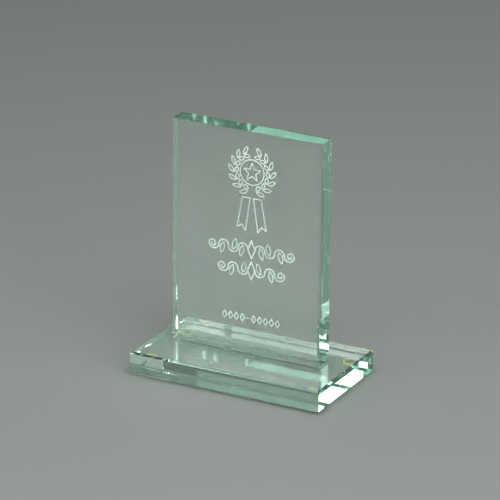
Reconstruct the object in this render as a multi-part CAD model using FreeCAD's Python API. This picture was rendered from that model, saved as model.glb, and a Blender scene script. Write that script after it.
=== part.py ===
"""Crystal award: an upright plate of pale green glass standing on a glass base slab.

Units are millimetres, +Z is up and the front of the award faces -Y.
The origin is the centre of the base's footprint at table level, under the feet.
"""
import FreeCAD, Part
import math
import os

# Glass
glass_thickness = 15.0
plate_width = 106.0
plate_height = 150.0
plate_shift_x = -1.5
base_width = 135.0
base_depth = 78.0
arris = 1.2
corner_flat = 0.3

# Bond between the plate and the base
film_thickness = 0.1

# Feet
foot_diameter = 9.5
foot_height = 1.8
foot_rounding = 0.9
adhesive_thickness = 0.2
adhesive_diameter = 9.0
foot_inset_side = 10.0
foot_inset_front = 9.5
foot_inset_rear = 13.0

# Engraving, cut into the back of the plate; heights are above the plate's lower edge
engraving_depth = 0.15
cutter_overrun = 1.0
fine_stroke = 0.75
bold_stroke = 1.0

# Emblem: a star in a ring, a wreath of two rows of leaves on each side, and ribbon tails
emblem_height = 120.0
star_points = 5
star_outer_radius = 6.2
star_inner_radius = 2.7
ring_radius = 8.4
wreath_leaves = 7
wreath_first_angle = -76.0
wreath_leaf_angle = 23.0
wreath_leaf_width = 2.2
outer_row_radius = 13.0
outer_leaf_length = 5.8
outer_leaf_lean = -34.0
inner_row_radius = 11.9
inner_leaf_length = 3.9
inner_leaf_lean = 30.0
ribbon_drop = 17.2
ribbon_outline = ((1.2, 0.0), (6.6, 0.0), (10.4, -20.5), (7.0, -18.4), (4.4, -22.4))

# Vines: wavy stems that end in a curl of two shrinking arcs
upper_vine_height = 68.2
upper_vine_span = 6.9
upper_vine_waves = 4
lower_vine_height = 54.0
lower_vine_span = 7.0
lower_vine_waves = 3
outer_curl_share = 0.66
inner_curl_share = 0.4
vine_leaf_length = 7.6
vine_leaf_width = 2.8
vine_leaf_lean = 14.0
vine_lozenge_width = 5.2
vine_lozenge_height = 12.0

# Row of small lozenges in two groups, given as (first centre, count), with a dash between
motif_row_height = 21.2
motif_groups = ((-18.85, 4), (2.0, 5))
motif_pitch = 4.25
motif_width = 3.0
motif_height = 5.0
dash_x = -2.05
dash_length = 2.5

# Levels that follow from the sizes above
base_bottom = foot_height + adhesive_thickness
base_top = base_bottom + glass_thickness
plate_bottom = base_top + film_thickness
plate_back = glass_thickness / 2

foot_x = base_width / 2 - foot_inset_side
foot_front_y = foot_inset_front - base_depth / 2
foot_rear_y = base_depth / 2 - foot_inset_rear
foot_places = {
    "front_left": (-foot_x, foot_front_y),
    "front_right": (foot_x, foot_front_y),
    "rear_left": (-foot_x, foot_rear_y),
    "rear_right": (foot_x, foot_rear_y),
}


def vector(x, y, z=0.0):
    return FreeCAD.Vector(x, y, z)


def polished_sheet(width, height):
    """A sheet of glass lying flat on its own centre, with its edges ground and polished.

    The outline of both large faces is arrissed, and the four corners are only just flattened.
    """
    sheet = Part.makeBox(width, height, glass_thickness, vector(-width / 2, -height / 2))
    outline = [edge for edge in sheet.Edges if edge.BoundBox.ZLength < glass_thickness / 2]
    sheet = sheet.makeChamfer(arris, outline)
    x = width / 2
    y = height / 2
    plan = polygon([(x, corner_flat - y), (x, y - corner_flat), (x - corner_flat, y),
                    (corner_flat - x, y), (-x, y - corner_flat), (-x, corner_flat - y),
                    (corner_flat - x, -y), (x - corner_flat, -y)])
    return sheet.common(Part.Face(plan).extrude(vector(0, 0, glass_thickness)))


# ---- Engraved line work, drawn flat in the XY plane ----

def open_stroke(edges, width):
    """The area a round tool of the given width covers along an open line.

    In the offsets, join 0 rounds the corners and join 2 keeps them sharp.
    """
    line = Part.Wire(edges)
    outline = line.makeOffset2D(width / 2, join=0, fill=False, openResult=False)
    return Part.Face(outline)


def closed_stroke(outline, width):
    """The area a round tool of the given width covers around a closed line."""
    outer = Part.Face(outline.makeOffset2D(width / 2, join=0))
    inner = Part.Face(outline.makeOffset2D(-width / 2, join=2))
    return outer.cut(inner)


def disc(x, y, radius):
    return Part.Face(Part.Wire(Part.makeCircle(radius, vector(x, y))))


def ring(x, y, radius, width):
    return disc(x, y, radius + width / 2).cut(disc(x, y, radius - width / 2))


def polygon(points):
    corners = [vector(x, y) for x, y in points]
    return Part.makePolygon(corners + corners[:1])


def swelling_arc(start, end, swell):
    """An arc that leaves the straight line between two points by the given amount."""
    a = vector(*start)
    b = vector(*end)
    along = (b - a).normalize()
    aside = vector(-along.y, along.x)
    return Part.Arc(a, (a + b) * 0.5 + aside * swell, b).toShape()


def star(x, y):
    corners = []
    for number in range(2 * star_points):
        radius = star_inner_radius if number % 2 else star_outer_radius
        angle = math.radians(90 + 180 / star_points * number)
        corners.append((x + radius * math.cos(angle), y + radius * math.sin(angle)))
    return closed_stroke(polygon(corners), fine_stroke)


def lozenge(x, y, width, height, stroke):
    half = width / 2
    reach = height / 2
    corners = [(x, y - reach), (x + half, y), (x, y + reach), (x - half, y)]
    return closed_stroke(polygon(corners), stroke)


def leaf(x, y, heading, length, width, stroke):
    """A pointed leaf outline that grows from a root in the given direction."""
    root = (x, y)
    tip = (x + length * math.cos(heading), y + length * math.sin(heading))
    sides = [swelling_arc(root, tip, width / 2), swelling_arc(tip, root, width / 2)]
    return closed_stroke(Part.Wire(sides), stroke)


def laurel_branch(x, y, side):
    """An outer and an inner row of leaves along half of a wreath that is open at the top."""
    shapes = []
    rows = ((outer_row_radius, outer_leaf_length, outer_leaf_lean),
            (inner_row_radius, inner_leaf_length, inner_leaf_lean))
    for radius, length, lean in rows:
        for number in range(wreath_leaves):
            turn = math.radians(wreath_first_angle + wreath_leaf_angle * number)
            root_x = x + side * radius * math.cos(turn)
            root_y = y + radius * math.sin(turn)
            heading = turn + math.radians(90 + lean)
            if side < 0:
                heading = math.pi - heading
            shapes.append(leaf(root_x, root_y, heading, length, wreath_leaf_width, fine_stroke))
    return shapes


def ribbon_tail(x, y, side):
    """One swallow-tailed ribbon end below the wreath."""
    corners = [(x + side * dx, y + dy) for dx, dy in ribbon_outline]
    return closed_stroke(polygon(corners), fine_stroke)


def emblem(x, y):
    """A laurel wreath around a star, with two ribbon tails."""
    shapes = [star(x, y), ring(x, y, ring_radius, fine_stroke)]
    for side in (-1, 1):
        shapes += laurel_branch(x, y, side)
        shapes.append(ribbon_tail(x, y - ribbon_drop, side))
    return shapes


def vine_arm(x, y, side, span, waves, rise):
    """One arm of a vine: a wavy stem with leaves in its hollows and a curled end."""
    spans = [span] * waves + [-outer_curl_share * span, inner_curl_share * span]
    stem = []
    leaves = []
    for number, step in enumerate(spans):
        middle = x + side * step / 2
        crown = vector(middle, y + rise * abs(step) / 2)
        stem.append(Part.Arc(vector(x, y), crown, vector(x + side * step, y)).toShape())
        if number < waves - 1:
            root_y = y + rise * vine_leaf_length / 4
            heading = math.radians(-rise * (90 - side * rise * vine_leaf_lean))
            leaves.append(leaf(middle, root_y, heading, vine_leaf_length, vine_leaf_width,
                               fine_stroke))
        x += side * step
        rise = -rise
    return [open_stroke(stem, bold_stroke)] + leaves


def vine(y, span, waves, rise):
    """A mirrored pair of vine arms around an upright lozenge."""
    shapes = [lozenge(0, y, vine_lozenge_width, vine_lozenge_height, bold_stroke)]
    for side in (-1, 1):
        shapes += vine_arm(side * vine_lozenge_width / 2, y, side, span, waves, rise)
    return shapes


def motif_row(y):
    """A row of small lozenges with a dash between the two groups."""
    shapes = []
    for first_x, count in motif_groups:
        for number in range(count):
            x = first_x + motif_pitch * number
            shapes.append(lozenge(x, y, motif_width, motif_height, fine_stroke))
    corner = vector(dash_x - dash_length / 2, y - fine_stroke / 2)
    shapes.append(Part.makePlane(dash_length, fine_stroke, corner))
    return shapes


def engraving():
    """All grooves as cutters that stand just proud of the back of the plate."""
    line_work = emblem(0.0, emblem_height)
    line_work += vine(upper_vine_height, upper_vine_span, upper_vine_waves, 1)
    line_work += vine(lower_vine_height, lower_vine_span, lower_vine_waves, -1)
    line_work += motif_row(motif_row_height)
    cutters = []
    for face in line_work:
        cutter = face.extrude(vector(0, 0, engraving_depth + cutter_overrun))
        cutter.rotate(vector(0, 0, 0), vector(1, 0, 0), 90)
        cutter.translate(vector(plate_shift_x, plate_back + cutter_overrun, plate_bottom))
        cutters.append(cutter)
    return cutters


# ---- Pieces ----

def upright_plate():
    plate = polished_sheet(plate_width, plate_height)
    plate.rotate(vector(0, 0, 0), vector(1, 0, 0), 90)
    plate.translate(vector(plate_shift_x, plate_back, plate_bottom + plate_height / 2))
    return plate.cut(engraving())


def bond_film():
    """The cured adhesive, as wide as the flat lower edge of the plate."""
    width = plate_width - 2 * corner_flat
    depth = glass_thickness - 2 * arris
    corner = vector(plate_shift_x - width / 2, -depth / 2, base_top)
    return Part.makeBox(width, depth, film_thickness, corner)


def base_slab():
    """The base, whose top carries the outline of the bond as a seam in the face."""
    slab = polished_sheet(base_width, base_depth)
    slab.translate(vector(0, 0, base_bottom))
    bed = bond_film()
    bed.translate(vector(0, 0, -film_thickness))
    return slab.cut(bed).fuse(bed)


def bumper_foot(place):
    """A low clear bumper: wide at the top, rounded towards the table."""
    x, y = foot_places[place]
    body = Part.makeCylinder(foot_diameter / 2, foot_height, vector(x, y))
    rim = [edge for edge in body.Edges if edge.BoundBox.ZMax < foot_height / 2]
    return body.makeFillet(foot_rounding, rim)


def foot_adhesive(place):
    x, y = foot_places[place]
    return Part.makeCylinder(adhesive_diameter / 2, adhesive_thickness, vector(x, y, foot_height))


def main():
    os.makedirs("parts", exist_ok=True)
    pieces = {
        "base_slab": base_slab(),
        "bond_film": bond_film(),
        "upright_plate": upright_plate(),
    }
    for place in foot_places:
        pieces["bumper_foot_" + place] = bumper_foot(place)
        pieces["foot_adhesive_" + place] = foot_adhesive(place)
    for node, shape in pieces.items():
        shape.exportStep("parts/" + node + ".step")


main()
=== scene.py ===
import bpy
import math
from mathutils import Matrix, Vector


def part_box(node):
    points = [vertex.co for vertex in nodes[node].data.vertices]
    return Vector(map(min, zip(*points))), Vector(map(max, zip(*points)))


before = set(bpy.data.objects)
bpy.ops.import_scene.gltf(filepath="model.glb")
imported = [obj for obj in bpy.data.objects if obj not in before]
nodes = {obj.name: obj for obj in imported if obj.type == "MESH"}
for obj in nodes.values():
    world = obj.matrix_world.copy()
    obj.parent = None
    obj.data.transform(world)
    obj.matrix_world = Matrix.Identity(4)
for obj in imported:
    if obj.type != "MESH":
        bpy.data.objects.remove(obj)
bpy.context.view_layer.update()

# Boxes read from the frame, in metres
plate_low, plate_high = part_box("upright_plate")
base_low, base_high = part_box("base_slab")
bond_low, bond_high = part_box("bond_film")

# Margins and details of the glass, in metres
HAIR = 1e-5
ON_FACE = 2e-5
FACE_MARGIN = 1e-4
ARRIS = 0.0012
GROOVE_ZONE = 0.0006
GROOVE_INSET_ACROSS = 0.003
GROOVE_INSET_UP = 0.005

# Glass
GLASS_IOR = 1.52
GLASS_TINT = (0.53, 0.85, 0.72)
GLASS_TINT_DENSITY = 10.0
POLISH_COLOUR = (1.0, 1.0, 1.0)
SMUDGE_ROUGHNESS = 0.004
GROUND_ROUGHNESS = 0.45

# Ground glass, painted brighter than white: painted light that makes the engraving give back more
# light than falls on it, to make up for the light held back by the face before it
FROST_WITH_PAINTED_GLOW_COLOUR = (1.65, 1.65, 1.65)
FROST_BACKWARD = 0.7

# A thin scattering film, partly real handling haze and partly painted light that lightens the
# shade seen in the glass: its share of a face, and how that grows towards the base
FILM_AND_PAINTED_LIGHT_COLOUR = (0.8, 0.97, 0.87)
FILM_BACKWARD = 0.6
FILM_LEAST = 0.04
FILM_MOST = 0.075
FILM_AND_PAINTED_LIGHT_AT_PLATE_FOOT = 1.9
FILM_AND_PAINTED_LIGHT_AT_PLATE_TOP = 0.95
FILM_ON_PLATE_EDGES = 0.0
FILM_ON_BASE_EDGES = 0.5

# Pattern sizes, in features per metre
SMUDGE_SCALE = 35.0
DUST_SCALE = 2500.0
GRAIN_SCALE = 1500.0

# Bumper feet
BUMPER_IOR = 1.5
BUMPER_ROUGHNESS = 0.06
BUMPER_COLOUR = (0.93, 0.93, 0.74)
RIM_COLOUR = (0.92, 0.9, 0.42)
RIM_BACKWARD = 0.8
RIM_START = 0.76
RIM_SHARPNESS = 8.0

# Floor, in metres
FLOOR_COLOUR = (0.228, 0.247, 0.234)
FLOOR_ROUGHNESS = 0.9
FLOOR_HALF = 4.0
FLOOR_DROP = 0.0001

# Softboxes: azimuth, elevation, distance, width, height in degrees and metres, then watts
LIGHT_AIM = (0.0, 0.0, 0.08)
SOFTBOXES = {
    "key_left": (-28, 22, 2.4, 1.2, 0.9, 16),
    "front_high": (14, 53, 2.2, 1.6, 1.0, 29),
    "front_right_high": (52, 54, 2.2, 1.2, 1.0, 12),
    "right": (60, 16, 2.4, 1.3, 1.0, 28),
    "right_rear_high": (100, 50, 2.2, 1.2, 1.0, 6),
    "back_right": (152, 22, 2.4, 1.2, 0.9, 1.5),
    "back_left": (-152, 22, 2.4, 1.2, 0.9, 0.45),
    "back_right_high": (166, 52, 2.2, 1.0, 1.0, 2.4),
    "back_left_high": (-138, 52, 2.2, 1.2, 1.0, 1.6),
    "overhead": (0, 86, 2.2, 1.8, 1.8, 9),
}
SURROUND_COLOUR = (0.9, 1.0, 0.95)
SURROUND_STRENGTH = 0.01

# Camera, in degrees, metres and, for the lens and sensor, millimetres
CAMERA_AZIMUTH = 27.61
CAMERA_ELEVATION = 20.92
CAMERA_ROLL = 0.51
CAMERA_DISTANCE = 2.2946
CAMERA_LENS = 261.37
CAMERA_SENSOR = 36.0
CAMERA_REACH = 50.0
AIM_ABOVE_BASE = 0.062
AIM_LEFT = 0.00166
AIM_UP = 0.0064

LIGHT_BOUNCES = 32


# ---- Node helpers ----

class Nodes:
    """Adds and links shader nodes in one material."""

    def __init__(self, name):
        self.material = bpy.data.materials.new(name)
        self.material.use_nodes = True
        self.tree = self.material.node_tree
        self.tree.nodes.clear()
        self.output = self.tree.nodes.new("ShaderNodeOutputMaterial")

    def add(self, kind, **inputs):
        node = self.tree.nodes.new(kind)
        for name, value in inputs.items():
            self.feed(node.inputs[name.replace("_", " ")], value)
        return node

    def feed(self, socket, value):
        if hasattr(value, "is_output"):
            self.tree.links.new(value, socket)
        else:
            socket.default_value = value

    def math(self, operation, a, b=0.0, clamp=False):
        node = self.tree.nodes.new("ShaderNodeMath")
        node.operation = operation
        node.use_clamp = clamp
        self.feed(node.inputs[0], a)
        self.feed(node.inputs[1], b)
        return node.outputs[0]

    def between(self, value, low, high):
        """1 where a value lies between two limits, else 0."""
        above = self.math("GREATER_THAN", value, low)
        below = self.math("LESS_THAN", value, high)
        return self.math("MULTIPLY", above, below)

    def position(self):
        """The place of a point in the frame, as a vector and as its X, Y and Z."""
        place = self.add("ShaderNodeTexCoord")
        parts = self.add("ShaderNodeSeparateXYZ", Vector=place.outputs["Object"])
        return place.outputs["Object"], parts.outputs

    def span(self, value, start, end, first, last):
        """A value spread from one range to another, and held at the ends."""
        node = self.add("ShaderNodeMapRange", Value=value, From_Min=start, From_Max=end,
                        To_Min=first, To_Max=last)
        return node.outputs[0]

    def noise(self, where, scale, low, high, detail):
        """Noise with its usual span of 0.3 to 0.7 spread between two values."""
        node = self.add("ShaderNodeTexNoise", Vector=where, Scale=scale, Detail=detail)
        return self.span(node.outputs["Fac"], 0.3, 0.7, low, high)

    def mix(self, factor, first, second):
        node = self.tree.nodes.new("ShaderNodeMixShader")
        self.feed(node.inputs[0], factor)
        self.tree.links.new(first, node.inputs[1])
        self.tree.links.new(second, node.inputs[2])
        return node.outputs[0]

    def shader(self, kind, colour, **inputs):
        """A shader node with the given overall colour."""
        node = self.add(kind, **inputs)
        name = "Base Color" if "Base Color" in node.inputs else "Color"
        node.inputs[name].default_value = (*colour, 1)
        return node

    def clear(self, colour, ior, roughness):
        """The surface of a clear solid that light passes through."""
        return self.shader("ShaderNodeBsdfPrincipled", colour, IOR=ior, Roughness=roughness,
                           Transmission_Weight=1.0).outputs[0]

    def scatter(self, colour, backward):
        """Light scattered back and forth by a matt layer, with the given share going back."""
        through = self.shader("ShaderNodeBsdfTranslucent", colour)
        back = self.shader("ShaderNodeBsdfDiffuse", colour)
        return self.mix(backward, through.outputs[0], back.outputs[0])

    def finish(self, surface):
        self.tree.links.new(surface, self.output.inputs["Surface"])
        return self.material


# ---- Glass ----

def film_and_painted_light(n, where, height, edge, edge_film):
    """How much of a surface a thin uneven film with fine dust covers, the film being partly real
    haze and partly painted light.
    """
    film = n.noise(where, SMUDGE_SCALE, FILM_LEAST, FILM_MOST, detail=6.0)
    less_on_edges = n.math("SUBTRACT", 1.0, n.math("MULTIPLY", edge, 1.0 - edge_film))
    film = n.math("MULTIPLY", film, less_on_edges)
    # Painted light: the film grows towards the plate's foot, and stays at its most on the base,
    # to lighten the shade seen there
    painted_light_towards_foot = n.span(height, plate_low.z, plate_high.z, FILM_AND_PAINTED_LIGHT_AT_PLATE_FOOT, FILM_AND_PAINTED_LIGHT_AT_PLATE_TOP)
    film = n.math("MULTIPLY", film, painted_light_towards_foot)
    dust = n.noise(where, DUST_SCALE, 0.7, 1.3, detail=1.0)
    return n.math("MULTIPLY", film, dust)


def clear_glass(name, box, axis, edge_film, bonded, frosted=None, ground=None):
    """Polished green glass, a sheet whose thickness runs along the given axis of its box.

    bonded, frosted and ground give the parts that are glued, engraved or left unpolished.
    """
    n = Nodes(name)
    where, xyz = n.position()
    edge = n.between(xyz[axis], box[0][axis] + FACE_MARGIN, box[1][axis] - FACE_MARGIN)
    glance = n.add("ShaderNodeFresnel", IOR=GLASS_IOR).outputs[0]

    roughness = n.noise(where, SMUDGE_SCALE, 0.0, SMUDGE_ROUGHNESS, detail=4.0)
    if ground:
        roughness = n.math("MAXIMUM", roughness, ground(n, xyz))
    surface = n.clear(POLISH_COLOUR, GLASS_IOR, roughness)

    # The film is seen where light leaves the glass, and not where the glass mirrors it
    film = film_and_painted_light(n, where, xyz[2], edge, edge_film)
    film = n.math("MULTIPLY", film, n.math("SUBTRACT", 1.0, glance))
    surface = n.mix(film, surface, n.scatter(FILM_AND_PAINTED_LIGHT_COLOUR, FILM_BACKWARD))
    if frosted:
        # Painted light: the ground glass in the grooves is brighter than white, so it glows
        # beyond the light it gets
        frost = n.mix(glance, n.scatter(FROST_WITH_PAINTED_GLOW_COLOUR, FROST_BACKWARD), surface)
        grain = n.noise(where, GRAIN_SCALE, 0.75, 1.0, detail=2.0)
        surface = n.mix(n.math("MULTIPLY", frosted(n, xyz), grain), surface, frost)

    glued = n.add("ShaderNodeBsdfTransparent").outputs[0]
    tint = n.shader("ShaderNodeVolumeAbsorption", GLASS_TINT, Density=GLASS_TINT_DENSITY)
    n.tree.links.new(tint.outputs[0], n.output.inputs["Volume"])
    return n.finish(n.mix(bonded(n, xyz), surface, glued))


def plate_bond(n, xyz):
    """The plate's flat lower edge."""
    return n.math("LESS_THAN", xyz[2], plate_low.z + ON_FACE)


def base_bond(n, xyz):
    """The part of the base's top that lies under the bond."""
    inside_x = n.between(xyz[0], bond_low.x - HAIR, bond_high.x + HAIR)
    inside_y = n.between(xyz[1], bond_low.y - HAIR, bond_high.y + HAIR)
    top = n.math("GREATER_THAN", xyz[2], base_high.z - ON_FACE)
    return n.math("MULTIPLY", n.math("MULTIPLY", inside_x, inside_y), top)


def plate_frost(n, xyz):
    """The grooves in the back of the plate, well clear of its edges."""
    deep = n.between(xyz[1], plate_high.y - GROOVE_ZONE, plate_high.y - HAIR)
    across = n.between(xyz[0], plate_low.x + GROOVE_INSET_ACROSS,
                       plate_high.x - GROOVE_INSET_ACROSS)
    up = n.between(xyz[2], plate_low.z + GROOVE_INSET_UP, plate_high.z - GROOVE_INSET_UP)
    return n.math("MULTIPLY", n.math("MULTIPLY", deep, across), up)


def plate_ground(n, xyz):
    """The roughness of the lower arrises, which are ground for the glue and never polished."""
    arris = n.between(xyz[2], plate_low.z + HAIR, plate_low.z + ARRIS - HAIR)
    return n.math("MULTIPLY", arris, GROUND_ROUGHNESS)


# ---- Adhesive and feet ----

def adhesive_material():
    n = Nodes("cured_adhesive")
    return n.finish(n.add("ShaderNodeBsdfTransparent").outputs[0])


def bumper_material(node):
    """Clear polyurethane, cloudy and yellowed around its rim."""
    low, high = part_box(node)
    centre = (low + high) / 2
    n = Nodes("clear_polyurethane_" + node)
    xyz = n.position()[1]
    away_x = n.math("SUBTRACT", xyz[0], centre.x)
    away_y = n.math("SUBTRACT", xyz[1], centre.y)
    square = n.math("ADD", n.math("MULTIPLY", away_x, away_x), n.math("MULTIPLY", away_y, away_y))
    radius = n.math("DIVIDE", n.math("SQRT", square), (high.x - low.x) / 2)
    rim = n.math("MULTIPLY", n.math("SUBTRACT", radius, RIM_START), RIM_SHARPNESS, clamp=True)
    clear = n.clear(BUMPER_COLOUR, BUMPER_IOR, BUMPER_ROUGHNESS)
    return n.finish(n.mix(rim, clear, n.scatter(RIM_COLOUR, RIM_BACKWARD)))


def dress(node, material):
    mesh = nodes[node].data
    mesh.materials.clear()
    mesh.materials.append(material)
    for polygon in mesh.polygons:
        polygon.use_smooth = False


def dress_all():
    plate_box = (plate_low, plate_high)
    dress("upright_plate", clear_glass("plate_glass", plate_box, 1, FILM_ON_PLATE_EDGES,
                                       plate_bond, plate_frost, plate_ground))
    base_box = (base_low, base_high)
    dress("base_slab", clear_glass("base_glass", base_box, 2, FILM_ON_BASE_EDGES, base_bond))
    adhesive = adhesive_material()
    dress("bond_film", adhesive)
    for name in nodes:
        if name.startswith("bumper_foot"):
            dress(name, bumper_material(name))
        if name.startswith("foot_adhesive"):
            dress(name, adhesive)


# ---- Floor, lights and camera ----

def floor():
    mesh = bpy.data.meshes.new("studio_floor")
    half = FLOOR_HALF
    corners = [(x, y, -FLOOR_DROP) for x, y in
               ((-half, -half), (half, -half), (half, half), (-half, half))]
    mesh.from_pydata(corners, [], [(0, 1, 2, 3)])
    obj = bpy.data.objects.new("studio_floor", mesh)
    bpy.context.scene.collection.objects.link(obj)
    n = Nodes("floor_paper")
    paper = n.shader("ShaderNodeBsdfPrincipled", FLOOR_COLOUR, Roughness=FLOOR_ROUGHNESS)
    mesh.materials.append(n.finish(paper.outputs[0]))


def direction(azimuth, elevation):
    """A unit vector towards a place given by its angles, in radians, from the front."""
    return Vector((math.sin(azimuth) * math.cos(elevation),
                   -math.cos(azimuth) * math.cos(elevation), math.sin(elevation)))


def softbox(name, azimuth, elevation, distance, width, height, power):
    """A rectangular soft light that faces the award."""
    away = direction(math.radians(azimuth), math.radians(elevation))
    data = bpy.data.lights.new(name, "AREA")
    data.shape = "RECTANGLE"
    data.size = width
    data.size_y = height
    data.energy = power
    lamp = bpy.data.objects.new(name, data)
    lamp.location = Vector(LIGHT_AIM) + away * distance
    lamp.rotation_mode = "QUATERNION"
    lamp.rotation_quaternion = (-away).to_track_quat("-Z", "Y")
    bpy.context.scene.collection.objects.link(lamp)


def surround():
    world = bpy.data.worlds.new("studio")
    world.use_nodes = True
    background = world.node_tree.nodes["Background"]
    background.inputs["Color"].default_value = (*SURROUND_COLOUR, 1)
    background.inputs["Strength"].default_value = SURROUND_STRENGTH
    bpy.context.scene.world = world


def camera():
    azimuth = math.radians(CAMERA_AZIMUTH)
    roll = math.radians(CAMERA_ROLL)
    back = direction(azimuth, math.radians(CAMERA_ELEVATION))
    right = Vector((math.cos(azimuth), math.sin(azimuth), 0))
    up = back.cross(right)
    side = right * math.cos(roll) + up * math.sin(roll)
    top = up * math.cos(roll) - right * math.sin(roll)
    aim = Vector((0, 0, base_high.z + AIM_ABOVE_BASE)) - right * AIM_LEFT + up * AIM_UP
    place = aim + back * CAMERA_DISTANCE
    data = bpy.data.cameras.new("photo_view")
    data.sensor_width = CAMERA_SENSOR
    data.lens = CAMERA_LENS
    data.clip_end = CAMERA_REACH
    cam = bpy.data.objects.new("photo_view", data)
    cam.matrix_world = Matrix((
        (side.x, top.x, back.x, place.x),
        (side.y, top.y, back.y, place.y),
        (side.z, top.z, back.z, place.z),
        (0, 0, 0, 1)))
    bpy.context.scene.collection.objects.link(cam)
    bpy.context.scene.camera = cam


dress_all()
floor()
for light, setting in SOFTBOXES.items():
    softbox(light, *setting)
surround()
camera()

# Light crosses the glass many times, and stays sharp after it has met the floor
scene = bpy.context.scene
scene.view_settings.view_transform = "Standard"
scene.cycles.max_bounces = LIGHT_BOUNCES
scene.cycles.transmission_bounces = LIGHT_BOUNCES
scene.cycles.glossy_bounces = LIGHT_BOUNCES
scene.cycles.transparent_max_bounces = LIGHT_BOUNCES
scene.cycles.blur_glossy = 0.0
